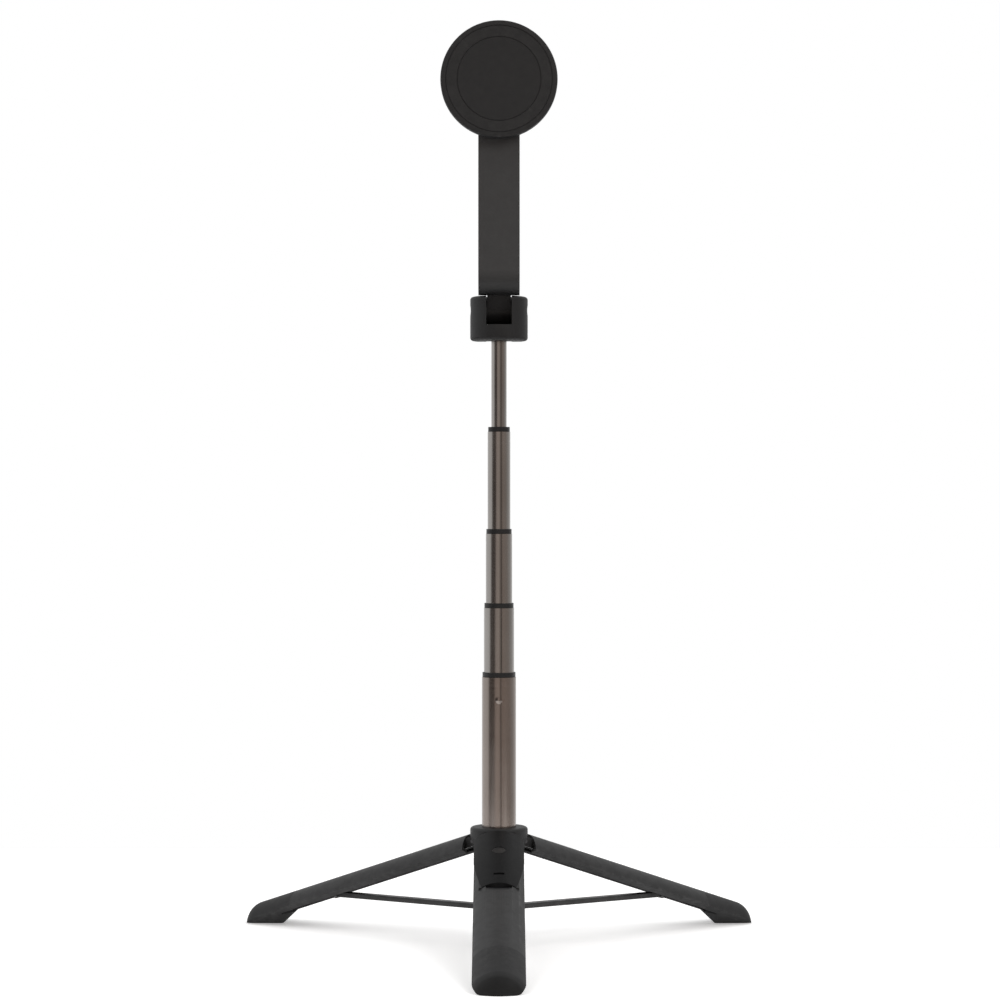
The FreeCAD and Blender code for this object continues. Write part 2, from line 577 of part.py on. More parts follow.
round_end = rod("arm_round_end", "arm_width / 2", ("0", "-arm_front", disc_centre), "arm_thick", "y")
arm_tools = [
    rod("arm_bolt_hole", "bolt_radius + running", ("-20", "0", hinge), "40", "x"),
    rod("arm_axle_hole", "axle_radius + running", ("0", "-30", disc_centre), "30", "y"),
    rod("arm_screw_seat", "screw_head_radius + 0.2",
        ("0", "arm_thick - arm_front - screw_head - spring_thick", disc_centre), "10", "y"),
]
finish(cut("Arm", fuse("arm_whole", blade, neck, knuckle, round_end), *arm_tools), "arm")

# ---------------------------------------------------------------- magnetic head
disc_back = "(-arm_front - disc_gap)"
floor_front = "(%s - disc_floor)" % disc_back
rim_front = "(%s - disc_depth)" % disc_back


def puck(name, radius, front, back):
    """A round plate in the magnetic head, between two depths."""
    return rod(name, radius, ("0", front, disc_centre), "(%s) - (%s)" % (back, front), "y")


cup = cut("disc_cup", puck("disc_block", "disc_radius", rim_front, disc_back),
          puck("disc_hollow", "disc_radius - disc_rim", rim_front + " - 1", floor_front),
          puck("disc_axle_hole", "axle_radius + seated", "-60", "0"))
finish(cup, "magnet_housing")
flange_front = "(%s - axle_flange_thick)" % floor_front
axle_back = "(arm_thick - arm_front - screw_head - spring_thick - 0.05)"
axle = cut("SwivelAxle", fuse("axle_whole", puck("axle_flange", "axle_flange",
                                                 flange_front, floor_front + " - 0.02"),
                              puck("axle_shaft", "axle_radius", flange_front, axle_back)),
           puck("axle_thread", "screw_radius + seated", "-60", "0"))
finish(axle, "swivel_axle")
spring_front = axle_back + " + 0.05"
finish(cut("SwivelSpring", puck("spring_disc", "screw_head_radius", spring_front,
                                spring_front + " + spring_thick - 0.05"),
           puck("spring_hole", "screw_radius + 0.1", "-60", "0")), "swivel_spring_washer")
head_front = spring_front + " + spring_thick"
screw = fuse("screw_whole", puck("screw_cap", "screw_head_radius - 0.2", head_front,
                                 "arm_thick - arm_front"),
             puck("screw_shank", "screw_radius", flange_front + " + 0.1", head_front + " + 0.1"))
screw_slot = box("screw_drive", ("-3", "arm_thick - arm_front - 0.5", disc_centre + " - 0.5"),
                 ("3", "0", disc_centre + " + 0.5"))
finish(cut("SwivelScrew", screw, screw_slot), "swivel_screw")
plate_back = floor_front + " - axle_flange_thick - 0.1"
plate_front = "(%s - plate_thick)" % plate_back
finish(puck("SteelPlate", "disc_radius - disc_rim - 0.2", plate_front, plate_back), "steel_back_plate")
magnet_front = "(%s - magnet_thick)" % plate_front
magnet_ring = cut("magnet_ring_whole", puck("magnet_disc", "magnet_outer", magnet_front,
                                            plate_front + " - 0.05"),
                  puck("magnet_core", "magnet_inner", "-60", "0"))
gaps = []
for share in range(6):
    gap = box("magnet_gap_%d" % share, ("-magnet_gap / 2", "-60", "-40"), ("magnet_gap / 2", "0", "40"))
    spin = FreeCAD.Placement(FreeCAD.Vector(0, 0, number(disc_centre)),
                             FreeCAD.Rotation(FreeCAD.Vector(0, 1, 0), 30 * share))
    gaps.append(turned("magnet_gap_turned_%d" % share, gap, spin))
finish(cut("Magnets", magnet_ring, *gaps), "magnet_segments")
pad_back = "(%s - 0.05)" % rim_front
finish(puck("FacePad", "disc_radius - 0.2", "%s - pad_thick" % pad_back, pad_back), "face_pad")

# ---------------------------------------------------------------- remote control, docked on the front leg
remote_low = along("remote_end")
remote_high = along("remote_start")
hub_clear = turned("remote_hub_clear", rod("remote_hub_block", "hub_radius + gap", ("0", "0", "0"), "200"),
                   fold)


def remote_block(name, shrink, front, back, low, high):
    """The remote's tapering barrel, shrunk evenly, between two depths and two heights."""
    barrel = new("Ellipsoid", name + "_barrel", Radius1="remote_taper",
                 Radius2="remote_radius - (%s)" % shrink)
    at(barrel, "0", "0", along("0"))
    slab = box(name + "_slab", ("%s - remote_half" % shrink, front, low),
               ("remote_half - (%s)" % shrink, back, high))
    return common(name, barrel, slab)


split = "(-remote_floor - remote_base)"
top_block = remote_block("remote_top_block", "0", "-30", split, remote_low, remote_high)
cavity = remote_block("remote_cavity", "remote_wall", "-30", split + " + 1",
                      remote_low + " + remote_side", remote_high + " - remote_side - 3")
button_height = along("button_place")
button_hole = rod("button_hole", "button_radius + running", ("0", "-30", button_height), "30", "y")
grip_slot = box("grip_slot", ("-grip_half", "-30", along("remote_end - grip_rise")),
                ("grip_half", "grip_depth - remote_radius", along("remote_end - grip_rise - grip_tall")))
finish(cut("RemoteTop", top_block, cavity, button_hole, grip_slot, hub_clear), "remote_top_shell", stand)
base_block = remote_block("remote_base_block", "0", split + " + 0.02", "-remote_floor", remote_low,
                          remote_high)
finish(cut("RemoteBase", base_block, hub_clear), "remote_bottom_shell", stand)
button_cap = rod("button_cap", "button_radius", ("0", "-button_top", button_height),
                 "button_top - button_foot", "y")
finish(button_cap, "shutter_button", stand)
board_front = "(%s - 0.05 - board_thick)" % split
board = box("board_block", ("-board_half", board_front, along("cell_place - cell_radius - 0.4")),
            ("board_half", split + " - 0.05", along("button_place - board_above")))
finish(board, "remote_board", stand)
finish(rod("DomeSwitch", "dome_radius", ("0", board_front + " - dome_height", button_height),
           "dome_height - 0.02", "y"), "dome_switch", stand)
cell_height = along("cell_place")
finish(rod("CoinCell", "cell_radius", ("0", split + " - 0.05 - cell_thick", cell_height), "cell_thick",
           "y"), "coin_cell", stand)

# ---------------------------------------------------------------- place, check and write
doc.recompute()
whole = FreeCAD.BoundBox()
for piece in finished:
    whole.add(piece.Shape.optimalBoundingBox(False))
shift = FreeCAD.Placement(FreeCAD.Vector(-whole.Center.x, -whole.Center.y, -whole.ZMin),
                          FreeCAD.Rotation())
for piece in finished:
    piece.Placement = shift.multiply(piece.Placement)
doc.recompute()

for item in doc.Objects:
    if "Invalid" in item.State or "Error" in item.State:
        raise RuntimeError("%s could not be worked out" % item.Name)
for piece in finished:
    if piece.Shape.isNull() or not piece.Shape.isValid() or not piece.Shape.Solids:
        raise RuntimeError("%s has no sound solid" % piece.Label)

os.makedirs("parts", exist_ok=True)
for piece in finished:
    piece.Shape.exportStep("parts/%s.step" % piece.Label)
print("pieces", len(finished), "box", [round(side, 2) for side in
      (whole.XLength, whole.YLength, whole.ZLength)], "mast y", round(shift.Base.y, 4))
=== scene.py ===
import math

import bpy
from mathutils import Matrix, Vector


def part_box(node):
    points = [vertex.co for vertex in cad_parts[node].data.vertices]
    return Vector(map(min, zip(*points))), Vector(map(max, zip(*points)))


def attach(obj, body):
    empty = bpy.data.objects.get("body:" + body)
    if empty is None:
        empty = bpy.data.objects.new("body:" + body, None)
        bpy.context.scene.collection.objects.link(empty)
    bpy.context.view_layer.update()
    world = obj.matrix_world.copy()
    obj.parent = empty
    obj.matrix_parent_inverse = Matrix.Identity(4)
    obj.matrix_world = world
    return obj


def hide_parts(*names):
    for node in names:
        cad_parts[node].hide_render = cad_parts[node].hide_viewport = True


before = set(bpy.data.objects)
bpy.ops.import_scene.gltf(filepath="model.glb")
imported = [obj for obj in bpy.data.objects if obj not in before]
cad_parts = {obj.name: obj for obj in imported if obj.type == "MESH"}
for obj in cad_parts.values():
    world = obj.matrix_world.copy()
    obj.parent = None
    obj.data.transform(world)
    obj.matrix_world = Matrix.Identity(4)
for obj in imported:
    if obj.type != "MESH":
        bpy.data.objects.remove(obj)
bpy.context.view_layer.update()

mast_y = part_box("tube_5")[0][1] / 2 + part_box("tube_5")[1][1] / 2

# ---------------------------------------------------------------- tripod hub
# The collar the column is pressed into: one nylon moulding with a bay for each leg's lugs. Like
# every dark moulding here it is shown with a fine dull grain, a small radius on each edge and
# slightly paler edges.
HUB_EDGE = 0.00035
EDGE_STEPS = 2
EDGE_CORNER = 32
WELD = 0.000002
FLAT_WITHIN = 0.6
SMOOTH_BELOW = 35
PIT_STRENGTH = 0.35
CHARCOAL = (0.0165, 0.0167, 0.0173)
CHARCOAL_RUBBED = (0.052, 0.052, 0.053)


def wire(tree, start, start_socket, end, end_socket):
    """Joins two shader nodes by their sockets' names or places."""
    tree.links.new(start.outputs[start_socket], end.inputs[end_socket])


def add_node(tree, kind, **sockets):
    """A shader node with the values its sockets start from."""
    node = tree.nodes.new(kind)
    for socket, value in sockets.items():
        node.inputs[socket.replace("_", " ")].default_value = value
    return node


def add_ramp(tree, low, high, start=0.0, end=1.0):
    """A straight change from one result to another between two values."""
    node = tree.nodes.new("ShaderNodeMapRange")
    node.inputs["From Min"].default_value = low
    node.inputs["From Max"].default_value = high
    node.inputs["To Min"].default_value = start
    node.inputs["To Max"].default_value = end
    return node


def blend_colours(tree, share, first, second):
    """A change from one colour to another. Each is a socket, or a plain colour."""
    node = tree.nodes.new("ShaderNodeMix")
    node.data_type = "RGBA"
    tree.links.new(share, node.inputs["Factor"])
    for place, colour in ((6, first), (7, second)):
        if isinstance(colour, tuple):
            node.inputs[place].default_value = (*colour, 1)
        else:
            tree.links.new(colour, node.inputs[place])
    return node.outputs[2]


def build_mould_grain():
    """The look of a grained moulding: blotchy tone, rubbed edges, uneven gloss and fine pits."""
    group = bpy.data.node_groups.new("mould_grain", "ShaderNodeTree")
    face = group.interface
    for label, kind in (("Colour", "NodeSocketColor"), ("Rubbed Colour", "NodeSocketColor"),
                        ("Grain Per Metre", "NodeSocketFloat"), ("Dull", "NodeSocketFloat"),
                        ("Shiny", "NodeSocketFloat")):
        face.new_socket(name=label, in_out="INPUT", socket_type=kind)
    for label, kind in (("Colour", "NodeSocketColor"), ("Roughness", "NodeSocketFloat"),
                        ("Height", "NodeSocketFloat")):
        face.new_socket(name=label, in_out="OUTPUT", socket_type=kind)
    given = group.nodes.new("NodeGroupInput")
    handed = group.nodes.new("NodeGroupOutput")
    place = group.nodes.new("ShaderNodeTexCoord")

    pits = add_node(group, "ShaderNodeTexNoise", Detail=3.0, Roughness=0.6)
    wire(group, place, "Object", pits, "Vector")
    wire(group, given, "Grain Per Metre", pits, "Scale")
    wire(group, pits, "Fac", handed, "Height")

    blotch = add_node(group, "ShaderNodeTexNoise", Scale=55.0, Detail=4.0, Roughness=0.6)
    wire(group, place, "Object", blotch, "Vector")
    shade = add_ramp(group, 0.0, 1.0, 0.97, 1.04)
    wire(group, blotch, "Fac", shade, "Value")
    toned = group.nodes.new("ShaderNodeVectorMath")
    toned.operation = "MULTIPLY"
    wire(group, given, "Colour", toned, 0)
    wire(group, shade, "Result", toned, 1)

    shape = group.nodes.new("ShaderNodeNewGeometry")
    edge = add_ramp(group, 0.515, 0.60)
    wire(group, shape, "Pointiness", edge, "Value")
    rub = add_node(group, "ShaderNodeTexNoise", Scale=240.0, Detail=5.0, Roughness=0.7)
    wire(group, place, "Object", rub, "Vector")
    rub_range = add_ramp(group, 0.35, 0.75)
    wire(group, rub, "Fac", rub_range, "Value")
    worn = group.nodes.new("ShaderNodeMath")
    worn.operation = "MULTIPLY"
    wire(group, edge, "Result", worn, 0)
    wire(group, rub_range, "Result", worn, 1)
    blend = blend_colours(group, worn.outputs[0], toned.outputs[0], given.outputs["Rubbed Colour"])
    group.links.new(blend, handed.inputs["Colour"])

    gloss = add_ramp(group, 0.3, 0.7)
    wire(group, rub, "Fac", gloss, "Value")
    wire(group, given, "Dull", gloss, "To Min")
    wire(group, given, "Shiny", gloss, "To Max")
    wire(group, gloss, "Result", handed, "Roughness")
    return group


mould_grain = build_mould_grain()


def moulded(name, colour, rubbed, dull, shiny, grain=2600.0, depth=0.00003, sheen=0.24):
    """A dark moulded plastic with its own tone, gloss and size of grain."""
    finish = bpy.data.materials.new(name)
    finish.use_nodes = True
    tree = finish.node_tree
    shader = tree.nodes["Principled BSDF"]
    grained = tree.nodes.new("ShaderNodeGroup")
    grained.node_tree = mould_grain
    grained.inputs["Colour"].default_value = (*colour, 1)
    grained.inputs["Rubbed Colour"].default_value = (*rubbed, 1)
    grained.inputs["Grain Per Metre"].default_value = grain
    grained.inputs["Dull"].default_value = dull
    grained.inputs["Shiny"].default_value = shiny
    bump = tree.nodes.new("ShaderNodeBump")
    bump.inputs["Strength"].default_value = PIT_STRENGTH
    bump.inputs["Distance"].default_value = depth
    wire(tree, grained, "Height", bump, "Height")
    wire(tree, grained, "Colour", shader, "Base Color")
    wire(tree, grained, "Roughness", shader, "Roughness")
    wire(tree, bump, "Normal", shader, "Normal")
    shader.inputs["Specular IOR Level"].default_value = sheen
    return finish


charcoal = moulded("charcoal_nylon", CHARCOAL, CHARCOAL_RUBBED, 0.58, 0.52)


def moulded_copy(node, name, finish, body, edge):
    """The shown form of a moulded solid: its flat faces joined and its edges rounded."""
    bpy.ops.object.select_all(action="DESELECT")
    piece = bpy.data.objects.new(name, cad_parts[node].data.copy())
    bpy.context.collection.objects.link(piece)
    piece.select_set(True)
    bpy.context.view_layer.objects.active = piece
    if piece.data.has_custom_normals:
        bpy.ops.mesh.customdata_custom_splitnormals_clear()
    bpy.ops.object.mode_set(mode="EDIT")
    bpy.ops.mesh.select_all(action="SELECT")
    bpy.ops.mesh.remove_doubles(threshold=WELD)
    bpy.ops.mesh.dissolve_limited(angle_limit=math.radians(FLAT_WITHIN))
    bpy.ops.object.mode_set(mode="OBJECT")
    rounding = piece.modifiers.new("edge_radius", "BEVEL")
    rounding.width = edge
    rounding.segments = EDGE_STEPS
    rounding.limit_method = "ANGLE"
    rounding.angle_limit = math.radians(EDGE_CORNER)
    bpy.ops.object.modifier_apply(modifier=rounding.name)
    bpy.ops.object.shade_smooth_by_angle(angle=math.radians(SMOOTH_BELOW))
    flatten = piece.modifiers.new("even_shading", "WEIGHTED_NORMAL")
    flatten.keep_sharp = True
    bpy.ops.object.modifier_apply(modifier=flatten.name)
    piece.data.materials.clear()
    piece.data.materials.append(finish)
    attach(piece, body)
    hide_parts(node)


moulded_copy("tripod_hub", "hub_collar", charcoal, "base", HUB_EDGE)

# ---------------------------------------------------------------- column tubes
# Five drawn aluminium tubes, anodised a grey bronze, each sliding in the one below. A key groove
# rolled down the front stops them turning, and a crimp under each mouth holds the ring in.
TUBE_BODIES = {1: "base", 2: "stage_2", 3: "stage_3", 4: "stage_4", 5: "head"}
TUBE_SIDES = 160
TUBE_SMOOTH_BELOW = 24
TUBE_WALL = 0.00030
GROOVE_PLACE = 0.00095
GROOVE_HALF = 0.00050
GROOVE_DEPTH = 0.00015
BOSS_DROP = 0.0109
BOSS_RADIUS = 0.0013
BOSS_STEP = 0.00030
# how much the painted shade in the key groove darkens the tube
GROOVE_SHADE = 0.62
CRIMP_DROP = 0.0045
CRIMP_HALF = 0.0009
CRIMP_DEPTH = 0.00003
CRIMP_SHAPE = ((-1.5, 0.0), (-1.0, 0.0), (-0.5, 0.7), (0.0, 1.0), (0.5, 0.7), (1.0, 0.0),
               (1.5, 0.0))
BOSS_RINGS = ((1.15, 0.5), (0.85, 0.4), (0.55, 0.3))
BOSS_CUTS = (-2.1, -1.6, -1.3, -1.0, -0.7, -0.4, 0.0, 0.4, 0.7, 1.0, 1.3, 1.6, 2.1)
BRONZE = (0.300, 0.284, 0.270)
BRONZE_DEEP = (0.262, 0.228, 0.208)
STREAK_SCALE = (2200.0, 2200.0, 9.0)
STREAK_SHARE = 0.6
STREAK_STRENGTH = 0.12
STREAK_DEPTH = 0.00001


def build_drawn_streaks():
    """The fine lengthwise lines of drawn and anodised metal, as a tone, a gloss and a height."""
    group = bpy.data.node_groups.new("drawn_streaks", "ShaderNodeTree")
    face = group.interface
    for label, kind in (("Colour", "NodeSocketColor"), ("Dull", "NodeSocketFloat"),
                        ("Shiny", "NodeSocketFloat")):
        face.new_socket(name=label, in_out="INPUT", socket_type=kind)
    for label, kind in (("Colour", "NodeSocketColor"), ("Roughness", "NodeSocketFloat"),
                        ("Height", "NodeSocketFloat")):
        face.new_socket(name=label, in_out="OUTPUT", socket_type=kind)
    given = group.nodes.new("NodeGroupInput")
    handed = group.nodes.new("NodeGroupOutput")
    place = group.nodes.new("ShaderNodeTexCoord")
    stretch = group.nodes.new("ShaderNodeMapping")
    stretch.inputs["Scale"].default_value = STREAK_SCALE
    wire(group, place, "Object", stretch, "Vector")
    line = add_node(group, "ShaderNodeTexNoise", Scale=1.0, Detail=4.0, Roughness=0.65)
    wire(group, stretch, "Vector", line, "Vector")
    wire(group, line, "Fac", handed, "Height")
    cloud = add_node(group, "ShaderNodeTexNoise", Scale=38.0, Detail=3.0, Roughness=0.5)
    wire(group, place, "Object", cloud, "Vector")
    mixed = group.nodes.new("ShaderNodeMath")
    mixed.operation = "MULTIPLY_ADD"
    wire(group, line, "Fac", mixed, 0)
    mixed.inputs[1].default_value = STREAK_SHARE
    wire(group, cloud, "Fac", mixed, 2)
    shade = add_ramp(group, 0.5, 1.1, 0.92, 1.06)
    wire(group, mixed, "Value", shade, "Value")
    toned = group.nodes.new("ShaderNodeVectorMath")
    toned.operation = "MULTIPLY"
    wire(group, given, "Colour", toned, 0)
    wire(group, shade, "Result", toned, 1)
    wire(group, toned, "Vector", handed, "Colour")
    gloss = add_ramp(group, 0.5, 1.1)
    wire(group, mixed, "Value", gloss, "Value")
    wire(group, given, "Shiny", gloss, "To Min")
    wire(group, given, "Dull", gloss, "To Max")
    wire(group, gloss, "Result", handed, "Roughness")
    return group


drawn_streaks = build_drawn_streaks()


def shade_groove(tree, lined, shader):
    """Paints shade into the key groove, by its place across the tube's front."""
    place = tree.nodes.new("ShaderNodeTexCoord")
    apart = tree.nodes.new("ShaderNodeSeparateXYZ")
    wire(tree, place, "Object", apart, "Vector")
    offset = tree.nodes.new("ShaderNodeMath")
    offset.operation = "SUBTRACT"
    offset.inputs[1].default_value = GROOVE_PLACE
    wire(tree, apart, "X", offset, 0)
    away = tree.nodes.new("ShaderNodeMath")
    away.operation = "ABSOLUTE"
    wire(tree, offset, 0, away, 0)
    across = add_ramp(tree, GROOVE_HALF * 0.85, GROOVE_HALF * 1.35, GROOVE_SHADE)
    wire(tree, away, 0, across, "Value")
    behind = tree.nodes.new("ShaderNodeMath")
    behind.operation = "GREATER_THAN"
    behind.inputs[1].default_value = mast_y
    wire(tree, apart, "Y", behind, 0)
    kept = tree.nodes.new("ShaderNodeMath")
    kept.operation = "MAXIMUM"
    wire(tree, across, "Result", kept, 0)
    wire(tree, behind, 0, kept, 1)
    darkened = tree.nodes.new("ShaderNodeVectorMath")
    darkened.operation = "MULTIPLY"
    wire(tree, lined, "Colour", darkened, 0)
    wire(tree, kept, 0, darkened, 1)
    wire(tree, darkened, "Vector", shader, "Base Color")


def drawn_metal(name, colour, shiny, dull, grooved=False):
    """A metal with drawn lines along it."""
    finish = bpy.data.materials.new(name)
    finish.use_nodes = True
    tree = finish.node_tree
    shader = tree.nodes["Principled BSDF"]
    lined = tree.nodes.new("ShaderNodeGroup")
    lined.node_tree = drawn_streaks
    lined.inputs["Colour"].default_value = (*colour, 1)
    lined.inputs["Shiny"].default_value = shiny
    lined.inputs["Dull"].default_value = dull
    bump = tree.nodes.new("ShaderNodeBump")
    bump.inputs["Strength"].default_value = STREAK_STRENGTH
    bump.inputs["Distance"].default_value = STREAK_DEPTH
    wire(tree, lined, "Height", bump, "Height")
    wire(tree, lined, "Colour", shader, "Base Color")
    wire(tree, lined, "Roughness", shader, "Roughness")
    wire(tree, bump, "Normal", shader, "Normal")
    shader.inputs["Metallic"].default_value = 1.0
    # painted shade in the key groove
    if grooved:
        shade_groove(tree, lined, shader)
    return finish


bronze = drawn_metal("bronze_anodising", BRONZE, 0.14, 0.24, grooved=True)
bronze_deep = drawn_metal("deep_bronze_anodising", BRONZE_DEEP, 0.16, 0.26, grooved=True)


def choose_points(piece, wanted):
    """Picks, in edit mode, the points whose place passes a test."""
    bpy.ops.mesh.select_mode(type="VERT")
    bpy.ops.mesh.select_all(action="DESELECT")
    bpy.ops.object.mode_set(mode="OBJECT")
    for point in piece.data.vertices:
        point.select = wanted(point.co)
    bpy.ops.object.mode_set(mode="EDIT")


def draw_tube(stage, finish, pressed=None):
    """One tube of the column, cut to length, grooved, crimped and given its wall."""
    low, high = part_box("tube_%d" % stage)
    middle = [(a + b) / 2 for a, b in zip(low, high)]
    radius = (high[0] - low[0]) / 2
    bpy.ops.object.select_all(action="DESELECT")
    bpy.ops.mesh.primitive_cylinder_add(vertices=TUBE_SIDES, radius=radius,
                                        depth=high[2] - low[2], end_fill_type="NOTHING",
                                        location=middle)
    tube = bpy.context.object
    tube.name = "column_tube_%d" % stage
    bpy.ops.object.transform_apply(location=True, rotation=True, scale=True)
    bpy.ops.object.mode_set(mode="EDIT")
    crimp = high[2] - CRIMP_DROP
    cuts = [crimp + share * CRIMP_HALF for share, _ in CRIMP_SHAPE]
    if pressed:
        cuts += [pressed[0] + share * pressed[1] for share in BOSS_CUTS]
    for height in cuts:
        bpy.ops.mesh.select_all(action="SELECT")
        bpy.ops.mesh.bisect(plane_co=(0, 0, height), plane_no=(0, 0, 1))
    choose_points(tube, lambda co: co.y < mast_y and GROOVE_HALF > abs(
        co.x - middle[0] - GROOVE_PLACE))
    bpy.ops.transform.translate(value=(0, GROOVE_DEPTH, 0))
    if stage < 5:
        for share, depth in CRIMP_SHAPE:
            shrink = 1 - depth * CRIMP_DEPTH / radius
            choose_points(tube, lambda co: abs(co.z - crimp - share * CRIMP_HALF) < 0.00002)
            bpy.ops.transform.resize(value=(shrink, shrink, 1),
                                     center_override=(middle[0], mast_y, crimp))
    if pressed:
        for reach, rise in BOSS_RINGS:
            choose_points(tube, lambda co: co.y < mast_y and reach * pressed[1] > math.hypot(
                co.x - middle[0], co.z - pressed[0]))
            bpy.ops.transform.translate(value=(0, -BOSS_STEP * rise, 0))
    bpy.ops.object.mode_set(mode="OBJECT")
    wall = tube.modifiers.new("wall", "SOLIDIFY")
    wall.thickness = TUBE_WALL
    wall.offset = -1.0
    bpy.ops.object.modifier_apply(modifier=wall.name)
    bpy.ops.object.shade_smooth_by_angle(angle=math.radians(TUBE_SMOOTH_BELOW))
    tube.data.materials.append(finish)
    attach(tube, TUBE_BODIES[stage])
    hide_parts("tube_%d" % stage)


draw_tube(1, bronze_deep, pressed=(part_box("tube_1")[1][2] - BOSS_DROP, BOSS_RADIUS))
for stage in (2, 3, 4, 5):
    draw_tube(stage, bronze)

# ---------------------------------------------------------------- mouth rings, bushings and end cap
# A black ring closes each tube's mouth and a white acetal bushing rides inside it. A cap is pinned
# into the bottom of the column.
RING_BLACK = (0.010, 0.010, 0.0105)
ACETAL = (0.72, 0.71, 0.68)
ring_finish = moulded("ring_black", RING_BLACK, (0.05, 0.05, 0.05), 0.46, 0.32, grain=4200.0)
acetal = moulded("natural_acetal", ACETAL, (0.80, 0.79, 0.76), 0.45, 0.3, grain=4200.0)
steel = drawn_metal("bright_steel", (0.56, 0.55, 0.54), 0.18, 0.34)
dark_steel = drawn_metal("blackened_steel", (0.075, 0.075, 0.078), 0.26, 0.42)
for stage in (1, 2, 3, 4):
    moulded_copy("mouth_ring_%d" % stage, "ring_%d" % stage, ring_finish, TUBE_BODIES[stage],
                 0.0002)
moulded_copy("column_end_cap", "column_foot_cap", charcoal, "base", 0.0004)


def clad(finish, *nodes):
    """Gives its finish to each solid that is shown as it was made."""
    for node in nodes:
        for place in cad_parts[node].material_slots:
            place.material = finish


clad(acetal, *["slider_bushing_%d" % stage for stage in (2, 3, 4, 5)])
clad(steel, "end_cap_pin")

# ---------------------------------------------------------------- legs
# Three half-round channels, moulded with a thick rim and two hinge lugs each. The front one also
# has the flat cradle the remote control clips into, and a thumb scoop below it.
LEG_EDGE = 0.0003
SIDES = ("front", "right", "left")
for side in SIDES:
    moulded_copy("leg_" + side, "leg_channel_" + side, charcoal, "leg_%s_body" % side,
                 LEG_EDGE)

# ---------------------------------------------------------------- feet
# A boot plugs each leg's end. It has a domed nose and a narrow flat sole, and painted shade makes
# its end face darker than its crown.
BOOT = (0.0155, 0.0157, 0.0163)
# the tone of the painted shade on each boot's end face
BOOT_END_PAINTED_SHADE = (0.0060, 0.0060, 0.0062)


def paint_boot_end_shade(finish, outward):
    """Paints shade on the faces that look outward from the mast, to darken a boot's end."""
    tree = finish.node_tree
    shader = tree.nodes["Principled BSDF"]
    toned = shader.inputs["Base Color"].links[0].from_socket
    place = tree.nodes.new("ShaderNodeTexCoord")
    facing = tree.nodes.new("ShaderNodeVectorMath")
    facing.operation = "DOT_PRODUCT"
    facing.inputs[1].default_value = outward
    wire(tree, place, "Normal", facing, 0)
    share = add_ramp(tree, 0.60, 0.74)
    wire(tree, facing, "Value", share, "Value")
    blend = blend_colours(tree, share.outputs["Result"], toned, BOOT_END_PAINTED_SHADE)
    tree.links.new(blend, shader.inputs["Base Color"])


for turn, side in enumerate(SIDES):
    boot_finish = moulded("boot_plastic_" + side, BOOT, CHARCOAL_RUBBED, 0.70, 0.60, grain=1900.0)
    around = math.radians(120 * turn)
    # painted shade on the boot's end face
    paint_boot_end_shade(boot_finish, (math.sin(around), -math.cos(around), 0))
    moulded_copy("foot_" + side, "foot_boot_" + side, boot_finish, "leg_%s_body" % side,
                 0.0005)

# ---------------------------------------------------------------- struts
# Flat stamped braces with rolled eyes that hold the legs apart. They are shown powder coated dark,
# on pins of blackened steel.
strut_finish = moulded("powder_coat", (0.024, 0.0243, 0.025), (0.10, 0.10, 0.10), 0.5, 0.36,
                       grain=3400.0, sheen=0.3)
for side in SIDES:
    moulded_copy("strut_" + side, "strut_brace_" + side, strut_finish, "strut_%s_body" % side,
                 0.00025)
clad(dark_steel, "leg_hinge_pins", "strut_hinge_pins")
clad(ring_finish, *["strut_slider_" + side for side in SIDES])

# ---------------------------------------------------------------- head hub
# The block at the top of the column. It is moulded like the hub, with a slot for the arm's knuckle,
# a bolt and nut through it and a washer on each side of the knuckle.
moulded_copy("head_hub", "head_block", charcoal, "head", 0.0002)
clad(dark_steel, "hinge_bolt", "hinge_nut", "head_grub_screw")
clad(ring_finish, "hinge_friction_washers")

# ---------------------------------------------------------------- arm
# A flat blade that turns in at its foot and ends in a round knuckle. The blade is shown paler, and
# painted shade darkens it over the bend to the tone of the other mouldings.
BLADE = (0.050, 0.0502, 0.0507)
BLADE_RUBBED = (0.07, 0.07, 0.07)
# heights above the hinge between which the painted shade over the arm's bend fades out
FADE_STARTS = 0.0076
FADE_ENDS = 0.0190
FOOT_ROUGHNESS = 0.42
BLADE_ROUGHNESS = 0.58
arm_finish = moulded("arm_plastic", BLADE, BLADE_RUBBED, BLADE_ROUGHNESS, BLADE_ROUGHNESS,
                     grain=3000.0)


def paint_bend_shade(finish, low, high):
    """Paints shade over a bend, from a paler tone to the dark, glossier moulding between two
    heights.
    """
    tree = finish.node_tree
    shader = tree.nodes["Principled BSDF"]
    toned = shader.inputs["Base Color"].links[0].from_socket
    place = tree.nodes.new("ShaderNodeTexCoord")
    apart = tree.nodes.new("ShaderNodeSeparateXYZ")
    wire(tree, place, "Object", apart, "Vector")
    paler = add_ramp(tree, low, high)
    wire(tree, apart, "Z", paler, "Value")
    blend = blend_colours(tree, paler.outputs["Result"], CHARCOAL, toned)
    tree.links.new(blend, shader.inputs["Base Color"])
    gloss = add_ramp(tree, low, high, FOOT_ROUGHNESS, BLADE_ROUGHNESS)
    wire(tree, apart, "Z", gloss, "Value")
    wire(tree, gloss, "Result", shader, "Roughness")


hinge_low, hinge_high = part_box("hinge_bolt")
hinge_z = (hinge_low[2] + hinge_high[2]) / 2
# painted shade over the arm's bend and knuckle, below the blade
paint_bend_shade(arm_finish, hinge_z + FADE_STARTS, hinge_z + FADE_ENDS)
moulded_copy("arm", "arm_blade", arm_finish, "arm_body", 0.0002)

